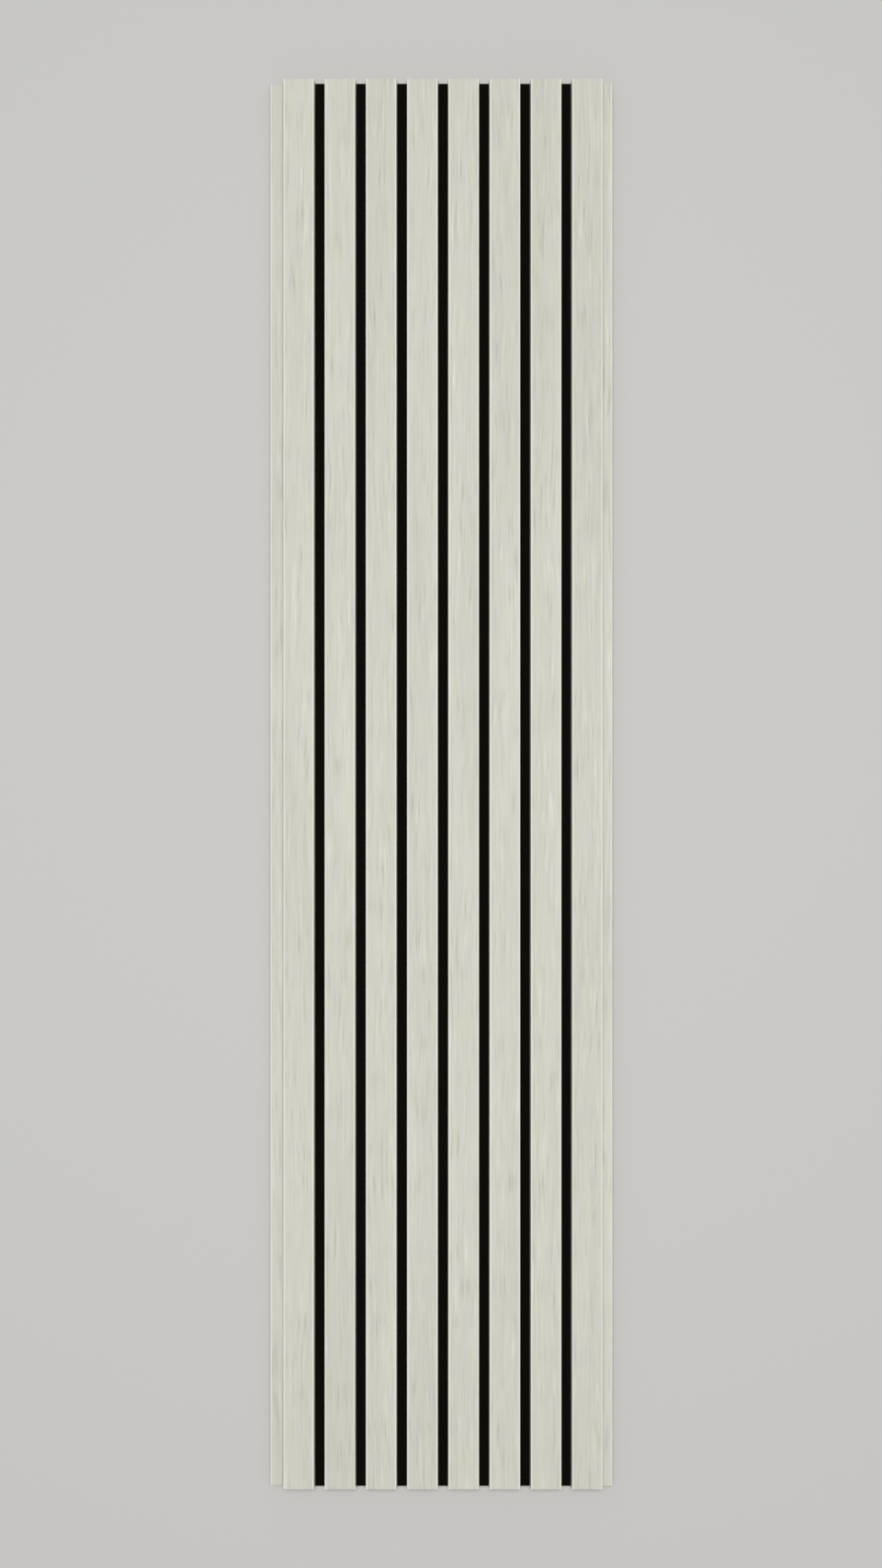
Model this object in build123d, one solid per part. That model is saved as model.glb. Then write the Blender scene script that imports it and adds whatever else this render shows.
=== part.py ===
from build123d import *
import os

# A slatted wall panel, milled from one board of fibreboard and wrapped in foil.
# It lies flat on its back: X runs across the slats, Y along them, Z out of the face.
# The origin is the middle of the panel's outline, on the back. Millimetres and degrees.

# Board
panel_length = 1220.0
base_thickness = 9.0

# Slats and the grooves between them
slat_count = 8
slat_pitch = 35.7
slat_foot_width = 27.5
slat_height = 12.0
slat_draft_angle = 2.75
slat_edge_radius = 0.7

# Tongue on the left edge
tongue_length = 12.0
tongue_thickness = 3.8
tongue_lead_in = 0.6

# Lip and slot on the right edge, which take the tongue of the next panel
lip_width = 8.9
slot_front_wall = 2.4
slot_face_clearance = 0.2
slot_end_clearance = 0.5
slot_rear_wall_setback = 0.6
lip_edge_radius = 0.5

# A panel covers the wall from its shoulder to its lip's edge, and a joint makes one more groove.
cover_width = (slat_count - 1) * slat_pitch + slat_foot_width + lip_width
overall_width = tongue_length + cover_width
lip_edge_x = overall_width / 2
shoulder_x = lip_edge_x - cover_width

# The slot lies one wall below the groove floors, and the tongue is centred on it.
slot_height = tongue_thickness + 2 * slot_face_clearance
slot_depth = tongue_length + slot_end_clearance
slot_bottom = base_thickness - slot_front_wall - slot_height
tongue_bottom = slot_bottom + slot_face_clearance


def base_profile():
    """The flat board under the slats, from the tongue's shoulder to the lip's edge."""
    board = Rectangle(cover_width, base_thickness, align=(Align.MIN, Align.MIN))
    return Pos(shoulder_x, 0) * board


def slat_profile():
    """One slat: walls that lean in towards the face, and two rounded front edges."""
    wall_angle = 90 - slat_draft_angle
    block = Trapezoid(slat_foot_width, slat_height, wall_angle, align=(Align.CENTER, Align.MIN))
    front_corners = block.vertices().group_by(Axis.Y)[-1]
    return fillet(front_corners, slat_edge_radius)


def slat_row():
    """All the slats on the board, the first one flush with the shoulder."""
    first_slat_x = shoulder_x + slat_foot_width / 2
    slat = slat_profile()
    return [Pos(first_slat_x + place * slat_pitch, base_thickness) * slat for place in range(slat_count)]


def tongue_profile():
    """The tongue beside the first slat, with both outer corners cut back to lead it in."""
    blade = Rectangle(tongue_length, tongue_thickness, align=(Align.MAX, Align.MIN))
    outer_corners = blade.vertices().group_by(Axis.X)[0]
    return Pos(shoulder_x, tongue_bottom) * chamfer(outer_corners, tongue_lead_in)


def slot_profile():
    """The space cut from the right edge: the slot, and the setback of the wall behind it."""
    slot = Rectangle(slot_depth, slot_height, align=(Align.MAX, Align.MIN))
    setback = Rectangle(slot_rear_wall_setback, slot_bottom, align=(Align.MAX, Align.MIN))
    return Pos(lip_edge_x, slot_bottom) * slot + Pos(lip_edge_x, 0) * setback


def panel_section():
    """The whole section across the panel, with the front edge of the lip eased."""
    section = base_profile() + slat_row() + tongue_profile() - slot_profile()
    lip_corner = section.vertices().sort_by_distance((lip_edge_x, base_thickness))[0]
    return fillet(lip_corner, lip_edge_radius)


def slatted_panel():
    """The panel: its section carried along the length, both ways from the middle."""
    return extrude(Plane.XZ * panel_section(), amount=panel_length / 2, both=True)


os.makedirs("parts", exist_ok=True)
export_step(slatted_panel(), "parts/slatted_panel.step")
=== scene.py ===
import math

import bmesh
import bpy
from bpy.props import FloatProperty, FloatVectorProperty, IntProperty, PointerProperty
from mathutils.kdtree import KDTree
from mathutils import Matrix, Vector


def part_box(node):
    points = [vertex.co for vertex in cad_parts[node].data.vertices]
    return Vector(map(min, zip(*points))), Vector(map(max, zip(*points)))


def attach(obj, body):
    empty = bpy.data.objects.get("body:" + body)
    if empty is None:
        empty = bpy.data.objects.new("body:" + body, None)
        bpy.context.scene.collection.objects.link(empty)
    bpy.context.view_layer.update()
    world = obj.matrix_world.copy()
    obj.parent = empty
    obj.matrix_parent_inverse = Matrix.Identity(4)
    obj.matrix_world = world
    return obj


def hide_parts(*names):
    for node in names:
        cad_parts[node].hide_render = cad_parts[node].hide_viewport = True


bl_info = {
    "name": "Slatted wall panel",
    "version": (1, 0, 0),
    "blender": (4, 5, 0),
    "location": "View3D > Sidebar > Wall panel",
    "description": "A wall panel with wood-print slats and black grooves, and the studio that it lies in",
    "category": "Add Mesh",
}

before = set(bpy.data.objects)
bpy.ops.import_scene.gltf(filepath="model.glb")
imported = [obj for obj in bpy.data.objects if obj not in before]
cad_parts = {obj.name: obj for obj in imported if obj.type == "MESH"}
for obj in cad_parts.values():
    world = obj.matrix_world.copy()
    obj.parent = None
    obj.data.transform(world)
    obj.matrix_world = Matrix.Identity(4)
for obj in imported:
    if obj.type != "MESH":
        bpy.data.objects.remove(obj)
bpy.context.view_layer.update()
panel_low, panel_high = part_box("slatted_panel")

# Two places closer than this are the same place, in metres.
TOUCHING = 1e-5
# A normal this far along an axis counts as facing that way, or as sloping that way.
FACING = 0.9
SLOPING = 0.3

WHITE = (1.0, 1.0, 1.0)

# The picture that the camera frames, in pixels, and where the panel's slats end in it.
PICTURE_HEIGHT = 1706
SLATS_TOP_ROW = 85.8
SLATS_BOTTOM_ROW = 1620.5

# Cells of the wood print's patterns, in metres across, along and out of the slats.
WANDER_CELL = (0.022, 0.100, 0.022)
FIGURE_CELL = (0.011, 0.075, 0.011)
STREAK_CELL = (0.0019, 0.042, 0.0019)
LONG_STREAK_CELL = (0.0024, 0.200, 0.0024)
PATCH_CELL = (0.030, 0.300, 0.030)
PORE_CELL = (0.0014, 0.030, 0.0014)
TINT_CELL = (0.0065, 0.032, 0.0065)
BLUSH_CELL = (0.0045, 0.026, 0.0045)

# How far the streaks wander sideways, in metres.
STREAK_WANDER = 0.006

# The print lies between its dark tone at 0 and its light tone at 1, and each pattern moves it by its share.
MIDDLE_TONE = 0.5
STREAK_SHARE = 0.215
LONG_STREAK_SHARE = 0.54
PORE_SHARE = 0.28
PATCH_SHARE = 0.36

# How much of the grain is left where it is quietest.
QUIET_GRAIN = 0.35

# The part of the pore pattern that is open pore.
PORE_FROM = 0.60
PORE_TO = 0.78

# Soft noise lies almost wholly between its low and its high value, round its middle.
NOISE_LOW = 0.3
NOISE_MIDDLE = 0.5
NOISE_HIGH = 0.7

# How many finer layers the noise of the print and of the fine flecks has.
PRINT_DETAIL = 1.0
FLECK_DETAIL = 3.0

# The share of the pressed grain's depth that the foil's bump adds between the points of the mesh.
BUMP_SHARE = 0.5

# How far the painted highlight on the edges goes from the colour of the print to its own pale colour.
EDGE_HIGHLIGHT_COVER = 0.8

# Roughness of the foil and of the other finishes, and how much pores and flecks add to it.
FOIL_ROUGHNESS = 0.58
PORE_ROUGHNESS = 0.20
FLECKED_ROUGHNESS = 0.62
FLECK_ROUGHNESS = 0.25
FLOOR_ROUGHNESS = 0.90

# How strongly each finish mirrors the light.
FOIL_GLOSS = 0.30
LACQUER_GLOSS = 0.02
BOARD_GLOSS = 0.20
PAPER_GLOSS = 0.30
FLOOR_GLOSS = 0.10

# Where the board turns dense, from its middle at 0 to its faces at 1, and how dark that and its fibres are.
DENSE_FROM = 0.5
DENSE_DARKNESS = 0.45
FLECK_DARKNESS = 0.5

# Cells of the fine patterns on lacquer, board and paper, and the depth of their relief, in metres.
LACQUER_CELL = (0.0016, 0.020, 0.0016)
BOARD_CELL = (0.0018, 0.0018, 0.00035)
PAPER_CELL = (0.004, 0.007, 0.004)
LACQUER_RELIEF = 0.0001
BOARD_RELIEF = 0.0001
PAPER_RELIEF = 0.00005

# Faces that meet at less than this are shaded as one rounding.
ROUNDED = math.radians(35)

# The most cuts that one subdivision makes.
MOST_CUTS = 100

# Marks on the panel's mesh: the painted highlight on the edges, and the tongue, whose foil gets painted
# shade.
EDGE_HIGHLIGHT_MARK = "edge_highlight_paint"
TONGUE_MARK = "tongue"

# The map that the colours are baked through. Each part of the section gets this share of its own width.
BAKE_MAP = "OFBake"
BAKE_SHARE_OF_FACE = 1.0
BAKE_SHARE_OF_SIDES = 0.4
BAKE_SHARE_OF_BACK = 0.06
# Where the long faces end on the map, and where the two cut ends lie above them.
BAKE_LONG_FACES = 0.94
BAKE_ENDS = ((0.950, 0.970), (0.980, 1.0))


def linear(red, green, blue):
    """A colour written by its screen values, from 0 to 255, as the linear values that shaders use."""
    # The numbers are those of the usual curve of screens, which is straight near black.
    def channel(value):
        share = value / 255
        return share / 12.92 if share <= 0.04045 else ((share + 0.055) / 1.055) ** 2.4
    return (channel(red), channel(green), channel(blue))


def distance(name, description, default):
    """A length that a user may change, in metres."""
    return FloatProperty(
        name=name, description=description, default=default, min=0.0, precision=5,
        subtype="DISTANCE", unit="LENGTH"
    )


def colour(name, description, default):
    """A colour that a user may change."""
    return FloatVectorProperty(
        name=name, description=description, default=default, min=0.0, max=1.0, subtype="COLOR", size=3
    )


class PanelSizes(bpy.types.PropertyGroup):
    """The panel's section, and how finely its faces are divided."""

    slat_count: IntProperty(name="Slats", description="Number of slats on the board", default=8, min=1)
    slat_pitch: distance("Slat pitch", "From one slat to the next", 0.0357)
    slat_foot_width: distance("Slat foot", "Width of a slat where it stands on the board", 0.0275)
    slat_height: distance("Slat height", "From the groove floor to the slat's face", 0.012)
    slat_draft: FloatProperty(
        name="Slat draft", description="Lean of a slat's walls", default=math.radians(2.75), subtype="ANGLE"
    )
    slat_edge_radius: distance("Slat edge", "Radius of a slat's front edges", 0.0007)
    tongue_length: distance("Tongue length", "How far the tongue stands out of the shoulder", 0.012)
    tongue_thickness: distance("Tongue thickness", "Thickness of the tongue", 0.0038)
    tongue_lead_in: distance("Tongue lead-in", "Chamfer on the tongue's tip", 0.0006)
    slot_front_wall: distance("Slot front wall", "Thickness of the lip in front of the slot", 0.0024)
    slot_face_clearance: distance("Slot clearance", "Room on each face of a tongue in the slot", 0.0002)
    slot_end_clearance: distance("Slot end room", "Room at the tip of a tongue in the slot", 0.0005)
    slot_rear_setback: distance("Rear wall setback", "How far the wall behind the slot stands back", 0.0006)
    lip_edge_radius: distance("Lip edge", "Radius of the lip's front edge", 0.0005)
    # Painted highlight: the pale edges of the tongue and the lip fade inwards over the edge fade, down to the
    # strip's level.
    edge_fade: distance("Edge fade", "How far the pale edges of the tongue and the lip fade inwards", 0.001)
    strip_painted_highlight: FloatProperty(
        name="Strip paleness", description="How pale the tongue and the lip still are inside that fade",
        default=0.12, min=0.0, max=1.0, subtype="FACTOR"
    )
    edge_segments: IntProperty(name="Edge facets", description="Facets of a rounded edge", default=4, min=1)
    grain_columns: IntProperty(
        name="Grain columns", description="Columns across a slat's face", default=34, min=2, max=MOST_CUTS + 1
    )
    grain_rows: IntProperty(
        name="Grain rows", description="Rows along the panel, an even number",
        default=190, min=4, max=2 * (MOST_CUTS + 1)
    )
    grain_depth: distance("Grain depth", "Depth of the grain pressed into the slats", 0.00007)

    @property
    def base_top(self):
        return panel_high.z - self.slat_height

    @property
    def shoulder(self):
        return panel_low.x + self.tongue_length

    @property
    def slat_centres(self):
        first = self.shoulder + self.slat_foot_width / 2
        return [first + place * self.slat_pitch for place in range(self.slat_count)]

    @property
    def slat_lean(self):
        return self.slat_height * math.tan(self.slat_draft)

    @property
    def slat_edge_reach(self):
        """How far a slat's rounded edge reaches from the corner that it takes off."""
        return self.slat_edge_radius * math.tan((math.pi / 2 - self.slat_draft) / 2)

    @property
    def slat_edge_bottom(self):
        """Where a slat's rounded edge meets its wall."""
        return panel_high.z - self.slat_edge_radius * (1 - math.sin(self.slat_draft))

    @property
    def slot_top(self):
        return self.base_top - self.slot_front_wall

    @property
    def slot_bottom(self):
        return self.slot_top - self.tongue_thickness - 2 * self.slot_face_clearance

    @property
    def slot_end(self):
        return panel_high.x - self.tongue_length - self.slot_end_clearance

    @property
    def tongue_top(self):
        return self.slot_top - self.slot_face_clearance

    @property
    def tongue_bottom(self):
        return self.slot_bottom + self.slot_face_clearance


class PanelFinish(bpy.types.PropertyGroup):
    """Colours of the foil, the grooves and the board."""

    print_light: colour("Print, light", "Lightest wood of the print", linear(228, 228, 217.6))
    print_dark: colour("Print, dark", "Darkest wood of the print", linear(186, 186, 174.6))
    print_warm: colour("Print, warm tint", "Tint of the warm patches", (1.0, 1.0, 0.950))
    print_cool: colour("Print, cool tint", "Tint of the cool patches", (0.990, 0.976, 1.0))
    print_blush: colour("Print, blush", "Tint of the beige patches", (1.0, 0.984, 0.966))
    # Painted highlight: a paler colour on the rounded edges, for the light that they catch.
    edge_highlight_paint: colour("Edges", "Foil drawn thin over the edges", linear(246, 245, 238))
    # Painted shade: the foil on the tongue a little darker, for the shade on the strip that lies recessed
    # beside the first slat.
    tongue_painted_shade: colour("Tongue, tint", "Tint of the foil on the tongue", (0.95, 0.95, 0.955))
    groove: colour("Grooves", "Lacquer on the groove floors", linear(8, 7, 5))
    groove_dust: colour("Groove dust", "Dust and sheen in the grooves", linear(16, 15, 11))
    board: colour("Board", "Fibreboard where it is cut", linear(188, 160, 124))
    board_dark: colour("Board, dark", "Dark fibres and the dense skins of the board", linear(140, 112, 80))
    paper: colour("Backing", "Paper on the back", linear(196, 182, 160))
    paper_dark: colour("Backing, dark", "Mottling of the paper", linear(172, 156, 132))


class StudioSettings(bpy.types.PropertyGroup):
    """The floor, the light and the camera."""

    floor: colour("Floor", "Plain pale floor", linear(206, 205, 203))
    floor_size: distance("Floor size", "Side of the floor", 14.0)
    floor_gap: distance("Floor gap", "How far the floor lies under the panel", 0.0002)
    backdrop: colour("Backdrop", "Pale surroundings, as the camera sees them", linear(198, 197, 195))
    backdrop_start: distance("Backdrop start", "Where the floor begins to go over into the backdrop", 0.9)
    backdrop_end: distance("Backdrop end", "Where the floor has gone over into the backdrop", 1.8)
    sky_strength: FloatProperty(name="Sky", description="Even light from all round", default=0.25, min=0.0)
    lamp_power: FloatProperty(
        name="Lamp", description="Power of the overhead lamp", default=119.0, min=0.0, unit="POWER"
    )
    lamp_width: distance("Lamp width", "Across the panel", 1.4)
    lamp_length: distance("Lamp length", "Along the panel", 1.7)
    lamp_height: distance("Lamp height", "Above the floor", 4.0)
    lamp_offset: distance("Lamp offset", "From the middle towards the panel's upper end", 0.15)
    camera_offset: distance("Camera offset", "From the middle towards the tongue", 0.0002)
    camera_drop: distance("Camera drop", "From the middle towards the panel's lower end", 0.12)
    lens: FloatProperty(name="Lens", description="Focal length", default=53.0, unit="CAMERA")


# Modelling


def open_for_editing(panel):
    bpy.ops.object.select_all(action="DESELECT")
    panel.select_set(True)
    bpy.context.view_layer.objects.active = panel
    bpy.ops.object.mode_set(mode="EDIT")


def choose(panel, element, test):
    """Select only the faces or the edges that pass a test, in edit mode."""
    bpy.ops.mesh.select_mode(type=element)
    bpy.ops.mesh.select_all(action="DESELECT")
    shape = bmesh.from_edit_mesh(panel.data)
    chosen = [item for item in (shape.faces if element == "FACE" else shape.edges) if test(item)]
    if not chosen:
        raise RuntimeError("no part of the panel is where this step looks for it")
    for item in chosen:
        item.select_set(True)
    shape.select_flush_mode()
    bmesh.update_edit_mesh(panel.data)


def cut_across(panel, test, point, normal):
    """Divide the faces that pass a test along a plane."""
    choose(panel, "FACE", test)
    bpy.ops.mesh.bisect(plane_co=point, plane_no=normal)


def any_face(face):
    return True


def faces_end(face):
    return abs(face.normal.y) > FACING


def runs_along(edge):
    first, second = (vertex.co for vertex in edge.verts)
    return abs(first.x - second.x) + abs(first.z - second.z) < TOUCHING


def runs_along_at(x, z):
    """A test for the edges that run along the panel at one place of its section."""
    def test(edge):
        place = edge.verts[0].co
        return runs_along(edge) and abs(place.x - x) < TOUCHING and abs(place.z - z) < TOUCHING
    return test


def add_board(sizes):
    """The flat board that everything else is milled from or drawn out of."""
    size = (panel_high.x - sizes.shoulder, panel_high.y - panel_low.y, sizes.base_top - panel_low.z)
    middle = (
        (panel_high.x + sizes.shoulder) / 2,
        (panel_high.y + panel_low.y) / 2,
        (sizes.base_top + panel_low.z) / 2,
    )
    bpy.ops.object.select_all(action="DESELECT")
    bpy.ops.mesh.primitive_cube_add(size=1, location=middle)
    board = bpy.context.active_object
    board.name = "foil_wrapped_panel"
    board.scale = size
    bpy.ops.object.transform_apply(location=True, rotation=True, scale=True)
    return board


def raise_slats(panel, sizes):
    """Cut the board's face into slats and grooves, draw the slats up and narrow their faces."""
    half_foot = sizes.slat_foot_width / 2
    for centre in sizes.slat_centres:
        for side in (centre - half_foot, centre + half_foot):
            cut_across(panel, any_face, (side, 0, 0), (1, 0, 0))

    def on_slat(face, centre):
        return face.normal.z > FACING and abs(face.calc_center_median().x - centre) < half_foot

    choose(panel, "FACE", lambda face: any(on_slat(face, centre) for centre in sizes.slat_centres))
    bpy.ops.mesh.extrude_region_move(TRANSFORM_OT_translate={"value": (0, 0, sizes.slat_height)})
    narrowing = 1 - 2 * sizes.slat_lean / sizes.slat_foot_width
    for centre in sizes.slat_centres:
        choose(panel, "FACE", lambda face: on_slat(face, centre))
        bpy.ops.transform.resize(value=(narrowing, 1, 1), center_override=(centre, 0, panel_high.z))


def draw_out_tongue(panel, sizes):
    """Divide the shoulder into three strips and draw the middle one out."""
    def on_shoulder(face):
        return face.normal.x < -FACING and face.calc_center_median().z < sizes.base_top

    for height in (sizes.tongue_bottom, sizes.tongue_top):
        cut_across(panel, on_shoulder, (0, 0, height), (0, 0, 1))

    def on_tongue(face):
        return on_shoulder(face) and sizes.tongue_bottom < face.calc_center_median().z < sizes.tongue_top

    choose(panel, "FACE", on_tongue)
    bpy.ops.mesh.extrude_region_move(TRANSFORM_OT_translate={"value": (-sizes.tongue_length, 0, 0)})


def cut_slot(panel, sizes):
    """Open a slot along the other edge, from end to end, and set its rear wall back."""
    last_foot = sizes.slat_centres[-1] - sizes.slat_foot_width / 2

    def beside_slot(face):
        middle = face.calc_center_median()
        on_edge = face.normal.x > FACING and middle.x > panel_high.x - TOUCHING
        return middle.z < sizes.base_top and (on_edge or faces_end(face) and middle.x > last_foot)

    def level_with_slot(face):
        return beside_slot(face) and sizes.slot_bottom < face.calc_center_median().z < sizes.slot_top

    def over_slot_end(face):
        return level_with_slot(face) and faces_end(face)

    def closes_slot(face):
        return level_with_slot(face) and face.calc_center_median().x > sizes.slot_end

    for height in (sizes.slot_bottom, sizes.slot_top):
        cut_across(panel, beside_slot, (0, 0, height), (0, 0, 1))
    cut_across(panel, over_slot_end, (sizes.slot_end, 0, 0), (1, 0, 0))
    choose(panel, "FACE", closes_slot)
    bpy.ops.mesh.delete(type="FACE")

    def on_open_rim(edge, low, high):
        """An edge of the opening at either end, between two corners of the slot's section."""
        middle = (edge.verts[0].co + edge.verts[1].co) / 2
        inside = all(a - TOUCHING < m < b + TOUCHING for a, m, b in zip(low, (middle.x, middle.z), high))
        return edge.is_boundary and not runs_along(edge) and inside

    for low, high in (
        ((sizes.slot_end, sizes.slot_top), (panel_high.x, sizes.slot_top)),
        ((sizes.slot_end, sizes.slot_bottom), (panel_high.x, sizes.slot_bottom)),
        ((sizes.slot_end, sizes.slot_bottom), (sizes.slot_end, sizes.slot_top)),
    ):
        choose(panel, "EDGE", lambda edge: on_open_rim(edge, low, high))
        bpy.ops.mesh.bridge_edge_loops()
    bpy.ops.mesh.select_all(action="SELECT")
    bpy.ops.mesh.normals_make_consistent(inside=False)

    choose(panel, "FACE", lambda face: beside_slot(face) and face.normal.x > FACING
           and face.calc_center_median().z < sizes.slot_bottom)
    bpy.ops.transform.translate(value=(-sizes.slot_rear_setback, 0, 0))


def ease_edges(panel, sizes):
    """Round the slats' front edges and the lip's, and chamfer the tongue's tip."""
    def on_slat_edge(edge):
        return runs_along(edge) and edge.verts[0].co.z > panel_high.z - TOUCHING

    def on_tongue_tip(edge):
        return runs_along(edge) and edge.verts[0].co.x < panel_low.x + TOUCHING

    on_lip_edge = runs_along_at(panel_high.x, sizes.base_top)
    for test, reach, segments in (
        (on_slat_edge, sizes.slat_edge_reach, sizes.edge_segments),
        (on_lip_edge, sizes.lip_edge_radius, sizes.edge_segments),
        (on_tongue_tip, sizes.tongue_lead_in, 1),
    ):
        choose(panel, "EDGE", test)
        bpy.ops.mesh.bevel(offset_type="OFFSET", offset=reach, segments=segments, affect="EDGES")

    def on_tongue_top(face):
        return face.normal.z > FACING and face.calc_center_median().x < sizes.shoulder

    def on_lip_top(face):
        middle = face.calc_center_median()
        last_slat = sizes.slat_centres[-1] + sizes.slat_foot_width / 2
        return face.normal.z > FACING and middle.x > last_slat and middle.z > sizes.slot_top

    # Lines where the painted highlight on the tongue and the lip fades out.
    tongue_line = panel_low.x + sizes.tongue_lead_in + sizes.edge_fade
    lip_line = panel_high.x - sizes.lip_edge_radius - sizes.edge_fade
    cut_across(panel, on_tongue_top, (tongue_line, 0, 0), (1, 0, 0))
    cut_across(panel, on_lip_top, (lip_line, 0, 0), (1, 0, 0))


def divide_faces(panel, sizes):
    """Divide the slat faces into columns and the whole panel into rows, for the pressed grain."""
    def across_slat_face(edge):
        first, second = (vertex.co for vertex in edge.verts)
        on_face = min(first.z, second.z) > panel_high.z - TOUCHING
        return on_face and abs(first.y - second.y) < TOUCHING

    choose(panel, "EDGE", across_slat_face)
    bpy.ops.mesh.subdivide(number_cuts=sizes.grain_columns - 1)
    # The rows need more cuts than one subdivision makes, so the panel is halved first.
    for cuts in (1, sizes.grain_rows // 2 - 1):
        choose(panel, "EDGE", runs_along)
        bpy.ops.mesh.subdivide(number_cuts=cuts)
    bpy.ops.object.mode_set(mode="OBJECT")


def mark_foil(panel, sizes):
    """Mark the painted highlight on the edges, where no grain is pressed either, and the tongue, where the
    foil gets painted shade.
    """
    half_face = sizes.slat_foot_width / 2 - sizes.slat_lean - sizes.slat_edge_reach
    tongue_line = panel_low.x + sizes.tongue_lead_in
    lip_line = panel_high.x - sizes.lip_edge_radius

    def at(place, x, z):
        return abs(place.x - x) < TOUCHING and abs(place.z - z) < TOUCHING

    # Painted highlight: full on the slats' rounded edges and on the edges of the tongue and the lip, fading
    # just inside those.
    def painted_highlight_at(place):
        off_centre = min(abs(place.x - centre) for centre in sizes.slat_centres)
        on_slat = place.z > sizes.slat_edge_bottom + TOUCHING and off_centre > half_face - TOUCHING
        if on_slat or at(place, tongue_line, sizes.tongue_top) or at(place, lip_line, sizes.base_top):
            return 1.0
        beside_tongue_edge = at(place, tongue_line + sizes.edge_fade, sizes.tongue_top)
        beside_lip_edge = at(place, lip_line - sizes.edge_fade, sizes.base_top)
        return sizes.strip_painted_highlight if beside_tongue_edge or beside_lip_edge else 0.0

    # Where the painted shade of the tongue goes.
    def on_tongue(place):
        return place.x < sizes.shoulder + TOUCHING and place.z < sizes.base_top + TOUCHING

    for name, mark in ((EDGE_HIGHLIGHT_MARK, painted_highlight_at), (TONGUE_MARK, on_tongue)):
        marks = panel.data.attributes.new(name, "FLOAT", "POINT")
        for vertex, entry in zip(panel.data.vertices, marks.data):
            entry.value = mark(vertex.co)


def section_in_order(shape):
    """The corners of the section at the panel's upper end, in order round it from the slot's rear corner."""
    def on_rim(edge):
        at_end = all(vertex.co.y > panel_high.y - TOUCHING for vertex in edge.verts)
        return at_end and sum(faces_end(face) for face in edge.link_faces) == 1

    neighbours = {}
    for edge in filter(on_rim, shape.edges):
        first, second = edge.verts
        neighbours.setdefault(first, []).append(second)
        neighbours.setdefault(second, []).append(first)
    start = max(neighbours, key=lambda vertex: vertex.co.x - vertex.co.z)
    order = [start, min(neighbours[start], key=lambda vertex: vertex.co.x)]
    while order[-1] is not start:
        order.append(next(vertex for vertex in neighbours[order[-1]] if vertex is not order[-2]))
    return [vertex.co.copy() for vertex in order]


def lay_out_skin(panel, sizes):
    """Lay the panel's skin flat for the bake: round the section across the map, and along the panel up it."""
    def share(place):
        if place.z > sizes.slat_edge_bottom:
            return BAKE_SHARE_OF_FACE
        return BAKE_SHARE_OF_SIDES if place.z > panel_low.z + TOUCHING else BAKE_SHARE_OF_BACK

    shape = bmesh.new()
    shape.from_mesh(panel.data)
    section = section_in_order(shape)
    reach = [0.0]
    for first, second in zip(section, section[1:]):
        reach.append(reach[-1] + (second - first).length * share((first + second) / 2))
    corners = KDTree(len(section) - 1)
    for number, place in enumerate(section[:-1]):
        corners.insert((place.x, 0, place.z), number)
    corners.balance()

    def along(place):
        return (place.y - panel_low.y) / (panel_high.y - panel_low.y)

    bake_map = shape.loops.layers.uv.new(BAKE_MAP)
    for face in shape.faces:
        if faces_end(face):
            low, high = BAKE_ENDS[face.normal.y > 0]
            for loop in face.loops:
                place = loop.vert.co
                across = (place.x - panel_low.x) / (panel_high.x - panel_low.x)
                height = (place.z - panel_low.z) / (panel_high.z - panel_low.z)
                loop[bake_map].uv = (across, low + (high - low) * height)
            continue
        numbers = [corners.find((loop.vert.co.x, 0, loop.vert.co.z))[1] for loop in face.loops]
        closes = max(numbers) - min(numbers) > 1
        for loop, number in zip(face.loops, numbers):
            across = reach[-1] if closes and number == 0 else reach[number]
            loop[bake_map].uv = (across / reach[-1], along(loop.vert.co) * BAKE_LONG_FACES)
    shape.to_mesh(panel.data)
    shape.free()


def press_grain(panel, sizes):
    """Sink the slat faces along the grain of the print, with the pores deepest."""
    tree = bpy.data.node_groups.new("Pressed grain", "GeometryNodeTree")
    tree.interface.new_socket("Geometry", in_out="INPUT", socket_type="NodeSocketGeometry")
    tree.interface.new_socket("Geometry", in_out="OUTPUT", socket_type="NodeSocketGeometry")
    start = tree.nodes.new("NodeGroupInput")
    end = tree.nodes.new("NodeGroupOutput")
    place = tree.nodes.new("GeometryNodeInputPosition").outputs[0]
    height = tree.nodes.new("ShaderNodeSeparateXYZ")
    tree.links.new(place, height.inputs[0])
    # The painted highlight's mark also keeps the pressed grain off the rounded edges.
    edge_highlight_paint = tree.nodes.new("GeometryNodeInputNamedAttribute")
    edge_highlight_paint.data_type = "FLOAT"
    edge_highlight_paint.inputs["Name"].default_value = EDGE_HIGHLIGHT_MARK
    on_face = maths(tree, "GREATER_THAN", height.outputs["Z"], panel_high.z - TOUCHING)
    inside = maths(tree, "SUBTRACT", on_face, edge_highlight_paint.outputs["Attribute"], clamp=True)
    tone, pores = wood_grain(tree, place)
    hollow = maths(tree, "SUBTRACT", 1.0, tone)
    sunk = maths(tree, "MULTIPLY", maths(tree, "MAXIMUM", hollow, pores), inside)
    depth = tree.nodes.new("ShaderNodeCombineXYZ")
    feed(tree, maths(tree, "MULTIPLY", sunk, -sizes.grain_depth), depth.inputs["Z"])
    move = tree.nodes.new("GeometryNodeSetPosition")
    tree.links.new(start.outputs[0], move.inputs["Geometry"])
    tree.links.new(depth.outputs[0], move.inputs["Offset"])
    tree.links.new(move.outputs[0], end.inputs[0])
    modifier = panel.modifiers.new("Pressed grain", "NODES")
    modifier.node_group = tree
    bpy.ops.object.modifier_apply(modifier=modifier.name)


# Finishes


def feed(tree, source, target):
    """Give a node's input a value, or the output of another node."""
    if isinstance(source, bpy.types.NodeSocket):
        tree.links.new(source, target)
    else:
        target.default_value = source


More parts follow.
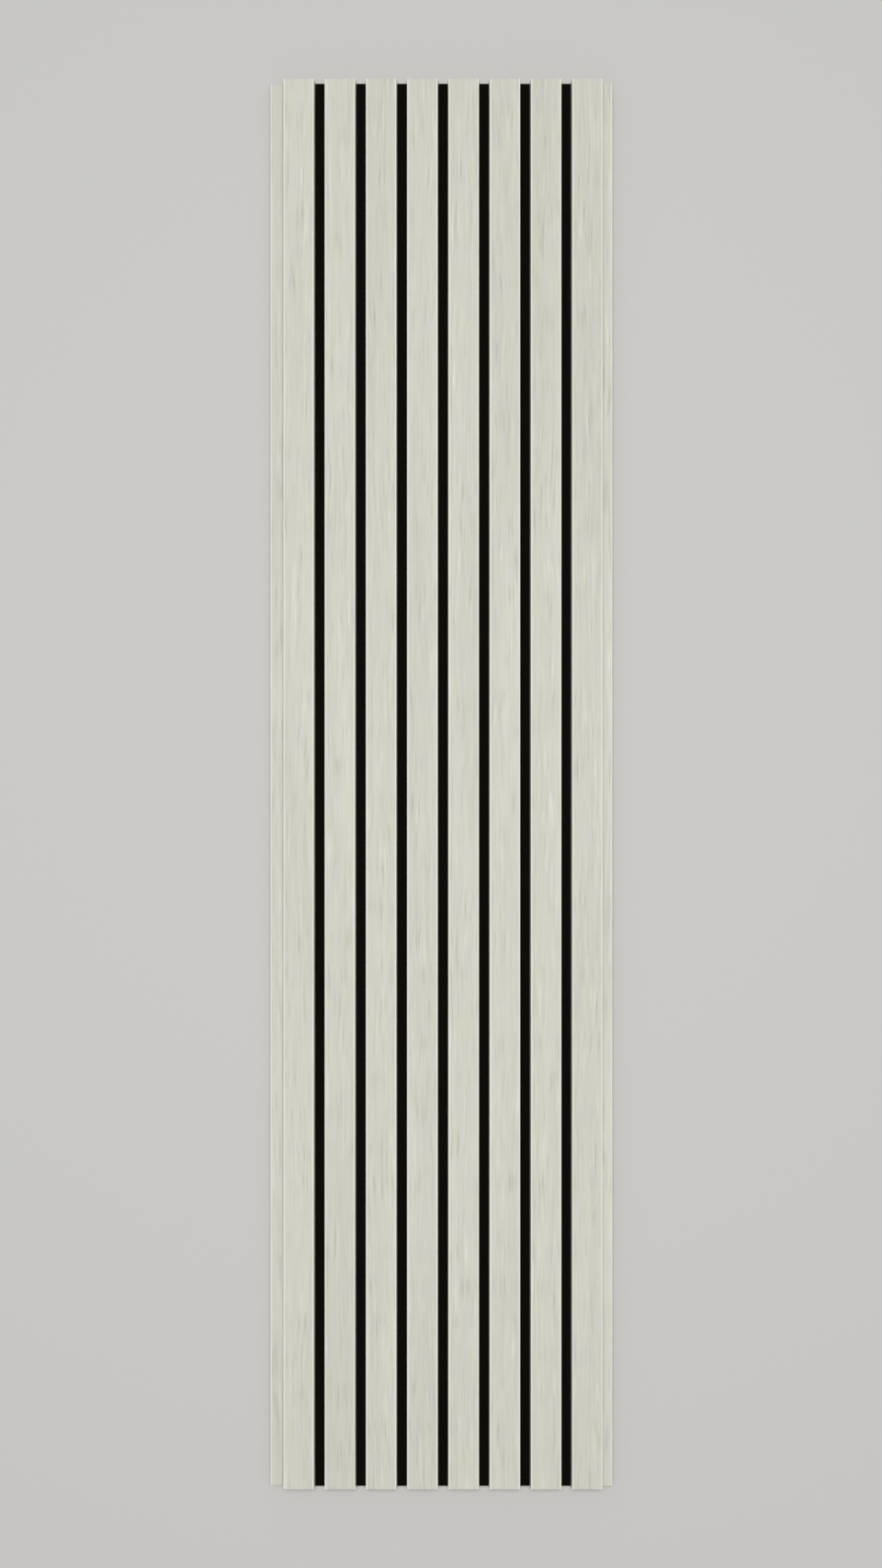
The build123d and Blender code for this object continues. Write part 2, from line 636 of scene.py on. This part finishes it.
def maths(tree, operation, first, second=0.0, clamp=False):
    node = tree.nodes.new("ShaderNodeMath")
    node.operation = operation
    node.use_clamp = clamp
    feed(tree, first, node.inputs[0])
    feed(tree, second, node.inputs[1])
    return node.outputs[0]


def noise(tree, place, cell, detail=0.0):
    """Soft noise from 0 to 1, in cells of a size in metres along each axis."""
    cells = tree.nodes.new("ShaderNodeVectorMath")
    cells.operation = "DIVIDE"
    feed(tree, place, cells.inputs[0])
    feed(tree, cell, cells.inputs[1])
    pattern = tree.nodes.new("ShaderNodeTexNoise")
    pattern.inputs["Scale"].default_value = 1.0
    pattern.inputs["Detail"].default_value = detail
    tree.links.new(cells.outputs[0], pattern.inputs["Vector"])
    return pattern.outputs[0]


def ramp(tree, value, low, high):
    """A value between two bounds, stretched to run from 0 to 1."""
    node = tree.nodes.new("ShaderNodeMapRange")
    feed(tree, value, node.inputs["Value"])
    feed(tree, low, node.inputs["From Min"])
    feed(tree, high, node.inputs["From Max"])
    return node.outputs[0]


def mix(tree, factor, first, second, blend="MIX"):
    """Mix two colours."""
    node = tree.nodes.new("ShaderNodeMix")
    node.data_type = "RGBA"
    node.blend_type = blend
    # The node has sockets of the same names for plain values and vectors, so these go by number.
    feed(tree, factor, node.inputs[0])
    feed(tree, first, node.inputs[6])
    feed(tree, second, node.inputs[7])
    return node.outputs[2]


def opaque(rgb):
    return (*rgb, 1.0)


def swing(tree, place, cell):
    """How far a pattern lies from its middle at a place, above or below 0."""
    return maths(tree, "SUBTRACT", noise(tree, place, cell, PRINT_DETAIL), NOISE_MIDDLE)


def tinge(tree, place, cell):
    """A pattern that stays close to 0 but for a few spots or streaks, which go to about -1 or 1."""
    off = maths(tree, "DIVIDE", swing(tree, place, cell), NOISE_HIGH - NOISE_MIDDLE)
    return maths(tree, "MULTIPLY", off, maths(tree, "ABSOLUTE", off))


def wood_grain(tree, place):
    """The grain at a place: its tone, from dark to light, and its pores, each from about 0 to 1."""
    wander = maths(tree, "SUBTRACT", noise(tree, place, WANDER_CELL), NOISE_MIDDLE)
    sideways = tree.nodes.new("ShaderNodeCombineXYZ")
    feed(tree, maths(tree, "MULTIPLY", wander, STREAK_WANDER), sideways.inputs["X"])
    bent = tree.nodes.new("ShaderNodeVectorMath")
    feed(tree, place, bent.inputs[0])
    feed(tree, sideways.outputs[0], bent.inputs[1])
    bent = bent.outputs[0]
    lively = ramp(tree, noise(tree, place, FIGURE_CELL), NOISE_LOW, NOISE_HIGH)
    lively = maths(tree, "ADD", maths(tree, "MULTIPLY", lively, 1 - QUIET_GRAIN), QUIET_GRAIN)
    pores = ramp(tree, noise(tree, bent, PORE_CELL), PORE_FROM, PORE_TO)
    pores = maths(tree, "MULTIPLY", pores, lively)
    streaks = maths(tree, "MULTIPLY", tinge(tree, bent, STREAK_CELL), STREAK_SHARE)
    long_streaks = maths(tree, "MULTIPLY", swing(tree, bent, LONG_STREAK_CELL), LONG_STREAK_SHARE)
    streaks = maths(tree, "MULTIPLY", maths(tree, "ADD", streaks, long_streaks), lively)
    patches = maths(tree, "MULTIPLY", swing(tree, place, PATCH_CELL), PATCH_SHARE)
    tone = maths(tree, "SUBTRACT", MIDDLE_TONE, maths(tree, "MULTIPLY", pores, PORE_SHARE))
    tone = maths(tree, "ADD", tone, maths(tree, "ADD", streaks, patches))
    return tone, pores


def print_tint(tree, place, finish):
    """The print's tint at a place, from cool to warm and from plain to beige."""
    warmth = ramp(tree, tinge(tree, place, TINT_CELL), -1.0, 1.0)
    tint = mix(tree, warmth, opaque(finish.print_cool), opaque(finish.print_warm))
    blush = ramp(tree, tinge(tree, place, BLUSH_CELL), 0.0, 1.0)
    return mix(tree, blush, tint, opaque(finish.print_blush), blend="MULTIPLY")


def new_finish(name):
    """A new material: its tree, its shader and the object's own coordinates."""
    material = bpy.data.materials.new(name)
    material.use_nodes = True
    tree = material.node_tree
    shader = tree.nodes["Principled BSDF"]
    place = tree.nodes.new("ShaderNodeTexCoord").outputs["Object"]
    return material, tree, shader, place


def roughen(tree, shader, height, depth):
    """Let a height pattern tilt the surface, as a relief of that depth in metres would."""
    bump = tree.nodes.new("ShaderNodeBump")
    bump.inputs["Distance"].default_value = depth
    feed(tree, height, bump.inputs["Height"])
    tree.links.new(bump.outputs["Normal"], shader.inputs["Normal"])


def marked(tree, name):
    """How far a mark on the panel's mesh holds at a place, from 0 to 1."""
    mark = tree.nodes.new("ShaderNodeAttribute")
    mark.attribute_name = name
    return mark.outputs["Fac"]


def fine_fleck_group():
    """The fine flecks that the lacquer, the board and the paper share."""
    tree = bpy.data.node_groups.new("Fine flecks", "ShaderNodeTree")
    tree.interface.new_socket("Place", in_out="INPUT", socket_type="NodeSocketVector")
    tree.interface.new_socket("Cell", in_out="INPUT", socket_type="NodeSocketVector")
    tree.interface.new_socket("Flecks", in_out="OUTPUT", socket_type="NodeSocketFloat")
    tree.interface.new_socket("Roughness", in_out="OUTPUT", socket_type="NodeSocketFloat")
    start = tree.nodes.new("NodeGroupInput")
    end = tree.nodes.new("NodeGroupOutput")
    grain = noise(tree, start.outputs["Place"], start.outputs["Cell"], FLECK_DETAIL)
    flecks = ramp(tree, grain, NOISE_LOW, NOISE_HIGH)
    rough = maths(tree, "ADD", FLECKED_ROUGHNESS, maths(tree, "MULTIPLY", flecks, FLECK_ROUGHNESS))
    tree.links.new(flecks, end.inputs["Flecks"])
    tree.links.new(rough, end.inputs["Roughness"])
    return tree


def place_flecks(tree, group, place, cell):
    """Put the shared flecks into a material, at its own cell size."""
    node = tree.nodes.new("ShaderNodeGroup")
    node.node_tree = group
    feed(tree, place, node.inputs["Place"])
    feed(tree, cell, node.inputs["Cell"])
    return node.outputs["Flecks"], node.outputs["Roughness"]


def wood_print_foil(finish, sizes):
    """Matt foil with a pale washed wood print, a painted highlight over the edges and painted shade on the
    tongue.
    """
    material, tree, shader, place = new_finish("wood_print_foil")
    tone, pores = wood_grain(tree, place)
    wood = mix(tree, tone, opaque(finish.print_dark), opaque(finish.print_light))
    wood = mix(tree, 1.0, wood, print_tint(tree, place, finish), blend="MULTIPLY")
    # Painted shade: the tongue's foil darkened by its tint.
    painted_tongue_shade = mix(tree, marked(tree, TONGUE_MARK), opaque(WHITE), opaque(finish.tongue_painted_shade))
    wood = mix(tree, 1.0, wood, painted_tongue_shade, blend="MULTIPLY")
    # Painted highlight on the edges, mixed over the print.
    painted_edge_highlight = maths(tree, "MULTIPLY", marked(tree, EDGE_HIGHLIGHT_MARK), EDGE_HIGHLIGHT_COVER)
    feed(tree, mix(tree, painted_edge_highlight, wood, opaque(finish.edge_highlight_paint)), shader.inputs["Base Color"])
    rough = maths(tree, "ADD", FOIL_ROUGHNESS, maths(tree, "MULTIPLY", pores, PORE_ROUGHNESS))
    feed(tree, rough, shader.inputs["Roughness"])
    shader.inputs["Specular IOR Level"].default_value = FOIL_GLOSS
    roughen(tree, shader, maths(tree, "SUBTRACT", tone, pores), sizes.grain_depth * BUMP_SHARE)
    return material


def groove_lacquer(finish, flecks):
    """Dead matt black on the groove floors."""
    material, tree, shader, place = new_finish("groove_lacquer")
    dust, rough = place_flecks(tree, flecks, place, LACQUER_CELL)
    black = mix(tree, dust, opaque(finish.groove), opaque(finish.groove_dust))
    feed(tree, black, shader.inputs["Base Color"])
    feed(tree, rough, shader.inputs["Roughness"])
    shader.inputs["Specular IOR Level"].default_value = LACQUER_GLOSS
    roughen(tree, shader, dust, LACQUER_RELIEF)
    return material


def fibreboard(finish, flecks):
    """Raw board on the cut ends, the tongue and the slot: pressed fibres, denser towards both faces."""
    material, tree, shader, place = new_finish("fibreboard")
    fibres, rough = place_flecks(tree, flecks, place, BOARD_CELL)
    height = tree.nodes.new("ShaderNodeSeparateXYZ")
    feed(tree, place, height.inputs[0])
    half = (panel_high.z - panel_low.z) / 2
    off_middle = maths(tree, "ABSOLUTE", maths(tree, "SUBTRACT", height.outputs["Z"], panel_low.z + half))
    dense = maths(tree, "MULTIPLY", ramp(tree, off_middle, half * DENSE_FROM, half), DENSE_DARKNESS)
    dark = maths(tree, "ADD", maths(tree, "MULTIPLY", fibres, FLECK_DARKNESS), dense, clamp=True)
    brown = mix(tree, dark, opaque(finish.board), opaque(finish.board_dark))
    feed(tree, brown, shader.inputs["Base Color"])
    feed(tree, rough, shader.inputs["Roughness"])
    shader.inputs["Specular IOR Level"].default_value = BOARD_GLOSS
    roughen(tree, shader, fibres, BOARD_RELIEF)
    return material


def backing_paper(finish, flecks):
    """Plain mottled paper on the back, which keeps the board flat."""
    material, tree, shader, place = new_finish("backing_paper")
    mottle, rough = place_flecks(tree, flecks, place, PAPER_CELL)
    sheet = mix(tree, mottle, opaque(finish.paper), opaque(finish.paper_dark))
    feed(tree, sheet, shader.inputs["Base Color"])
    feed(tree, rough, shader.inputs["Roughness"])
    shader.inputs["Specular IOR Level"].default_value = PAPER_GLOSS
    roughen(tree, shader, mottle, PAPER_RELIEF)
    return material


def dress_faces(panel, sizes, finish):
    """Give each face of the panel its finish, by its place and the way it faces."""
    flecks = fine_fleck_group()
    foil, lacquer, board, paper = range(4)
    for material in (
        wood_print_foil(finish, sizes),
        groove_lacquer(finish, flecks),
        fibreboard(finish, flecks),
        backing_paper(finish, flecks),
    ):
        panel.data.materials.append(material)

    half_groove = (sizes.slat_pitch - sizes.slat_foot_width) / 2
    groove_centres = [centre + sizes.slat_pitch / 2 for centre in sizes.slat_centres[:-1]]

    def finish_of(face):
        in_base = face.center.z < sizes.base_top - TOUCHING
        in_groove = any(abs(face.center.x - centre) < half_groove for centre in groove_centres)
        if faces_end(face):
            return board
        if face.normal.z < -FACING and face.center.z < panel_low.z + TOUCHING:
            return paper
        if face.normal.z > FACING and in_groove and face.center.z < sizes.base_top + TOUCHING:
            return lacquer
        beside_slats = face.center.x < sizes.shoulder or face.center.z > sizes.slot_top
        on_shoulder = face.normal.x < -FACING and face.center.z > sizes.tongue_top
        wrapped = on_shoulder or beside_slats and face.normal.z > SLOPING
        return board if in_base and not wrapped else foil

    for face in panel.data.polygons:
        face.material_index = finish_of(face)


class WALLPANEL_OT_slatted_panel(bpy.types.Operator):
    """Model the panel from one board: slats and grooves, tongue and slot, rounded edges and pressed grain"""

    bl_idname = "wall_panel.slatted_panel"
    bl_label = "Slatted panel"

    def execute(self, context):
        sizes = context.scene.panel_sizes
        panel = add_board(sizes)
        open_for_editing(panel)
        raise_slats(panel, sizes)
        draw_out_tongue(panel, sizes)
        cut_slot(panel, sizes)
        ease_edges(panel, sizes)
        divide_faces(panel, sizes)
        mark_foil(panel, sizes)
        lay_out_skin(panel, sizes)
        dress_faces(panel, sizes, context.scene.panel_finish)
        press_grain(panel, sizes)
        bpy.ops.object.shade_smooth_by_angle(angle=ROUNDED)
        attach(panel, "root")
        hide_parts("slatted_panel")
        return {"FINISHED"}


# Studio


def seen_as_backdrop(tree):
    """Whether a ray looks at the surroundings, directly or in a gloss, and doesn't gather their light."""
    path = tree.nodes.new("ShaderNodeLightPath").outputs
    mirrored = maths(tree, "MAXIMUM", path["Is Glossy Ray"], path["Is Transmission Ray"])
    return maths(tree, "MAXIMUM", path["Is Camera Ray"], mirrored)


def go_over(tree, factor, first, second, output):
    """Go over from one shader to another, and send the result to the output."""
    mixer = tree.nodes.new("ShaderNodeMixShader")
    feed(tree, factor, mixer.inputs["Fac"])
    tree.links.new(first.outputs[0], mixer.inputs[1])
    tree.links.new(second.outputs[0], mixer.inputs[2])
    tree.links.new(mixer.outputs[0], tree.nodes[output].inputs["Surface"])


def add_floor(studio):
    """A pale floor that keeps the panel's shadow and goes over into the backdrop further off."""
    bpy.ops.object.select_all(action="DESELECT")
    bpy.ops.mesh.primitive_plane_add(size=studio.floor_size, location=(0, 0, panel_low.z - studio.floor_gap))
    floor = bpy.context.active_object
    floor.name = "studio_floor"
    material, tree, shader, place = new_finish("studio_floor")
    shader.inputs["Base Color"].default_value = opaque(studio.floor)
    shader.inputs["Roughness"].default_value = FLOOR_ROUGHNESS
    shader.inputs["Specular IOR Level"].default_value = FLOOR_GLOSS
    away = tree.nodes.new("ShaderNodeVectorMath")
    away.operation = "LENGTH"
    feed(tree, place, away.inputs[0])
    far_off = ramp(tree, away.outputs["Value"], studio.backdrop_start, studio.backdrop_end)
    backdrop = tree.nodes.new("ShaderNodeEmission")
    backdrop.inputs["Color"].default_value = opaque(studio.backdrop)
    factor = maths(tree, "MULTIPLY", far_off, seen_as_backdrop(tree))
    go_over(tree, factor, shader, backdrop, "Material Output")
    floor.data.materials.append(material)


def add_lights(scene, studio):
    """Even white light from all round, which looks like the backdrop, and a large lamp overhead."""
    world = bpy.data.worlds.new("studio_sky")
    world.use_nodes = True
    tree = world.node_tree
    sky = tree.nodes["Background"]
    sky.inputs["Color"].default_value = opaque(WHITE)
    sky.inputs["Strength"].default_value = studio.sky_strength
    backdrop = tree.nodes.new("ShaderNodeBackground")
    backdrop.inputs["Color"].default_value = opaque(studio.backdrop)
    go_over(tree, seen_as_backdrop(tree), sky, backdrop, "World Output")
    scene.world = world
    bpy.ops.object.light_add(type="AREA", location=(0, studio.lamp_offset, studio.lamp_height))
    lamp = bpy.context.active_object
    lamp.name = "overhead_lamp"
    lamp.data.shape = "RECTANGLE"
    lamp.data.size = studio.lamp_width
    lamp.data.size_y = studio.lamp_length
    lamp.data.energy = studio.lamp_power


def add_camera(scene, studio):
    """A camera above the panel, as far off as the slats' length in the picture asks, its view shifted up."""
    bpy.ops.object.camera_add(rotation=(0, 0, 0))
    camera = bpy.context.active_object
    camera.name = "camera_above"
    camera.data.lens = studio.lens
    rows = SLATS_BOTTOM_ROW - SLATS_TOP_ROW
    seen_height = (panel_high.y - panel_low.y) * PICTURE_HEIGHT / rows
    away = seen_height * camera.data.lens / camera.data.sensor_width
    camera.data.shift_y = studio.camera_drop / seen_height
    camera.location = (-studio.camera_offset, -studio.camera_drop, panel_high.z + away)
    scene.camera = camera


class WALLPANEL_OT_studio(bpy.types.Operator):
    """Set up the pale floor, the soft light and the camera that looks down on the panel"""

    bl_idname = "wall_panel.studio"
    bl_label = "Studio"

    def execute(self, context):
        studio = context.scene.studio_settings
        add_floor(studio)
        add_lights(context.scene, studio)
        add_camera(context.scene, studio)
        context.scene.view_settings.view_transform = "Standard"
        return {"FINISHED"}


class WALLPANEL_PT_sidebar(bpy.types.Panel):
    """The panel's sizes, colours and steps"""

    bl_idname = "WALLPANEL_PT_sidebar"
    bl_label = "Wall panel"
    bl_space_type = "VIEW_3D"
    bl_region_type = "UI"
    bl_category = "Wall panel"

    def draw(self, context):
        scene = context.scene
        for settings in (scene.panel_sizes, scene.panel_finish, scene.studio_settings):
            box = self.layout.box()
            for name in settings.__annotations__:
                box.prop(settings, name)
        self.layout.operator(WALLPANEL_OT_slatted_panel.bl_idname)
        self.layout.operator(WALLPANEL_OT_studio.bl_idname)


CLASSES = (
    PanelSizes,
    PanelFinish,
    StudioSettings,
    WALLPANEL_OT_slatted_panel,
    WALLPANEL_OT_studio,
    WALLPANEL_PT_sidebar,
)


def register():
    for entry in CLASSES:
        bpy.utils.register_class(entry)
    bpy.types.Scene.panel_sizes = PointerProperty(type=PanelSizes)
    bpy.types.Scene.panel_finish = PointerProperty(type=PanelFinish)
    bpy.types.Scene.studio_settings = PointerProperty(type=StudioSettings)


def unregister():
    del bpy.types.Scene.studio_settings
    del bpy.types.Scene.panel_finish
    del bpy.types.Scene.panel_sizes
    for entry in reversed(CLASSES):
        bpy.utils.unregister_class(entry)


def main():
    register()
    bpy.ops.wall_panel.slatted_panel()
    bpy.ops.wall_panel.studio()


if __name__ == "__main__":
    main()
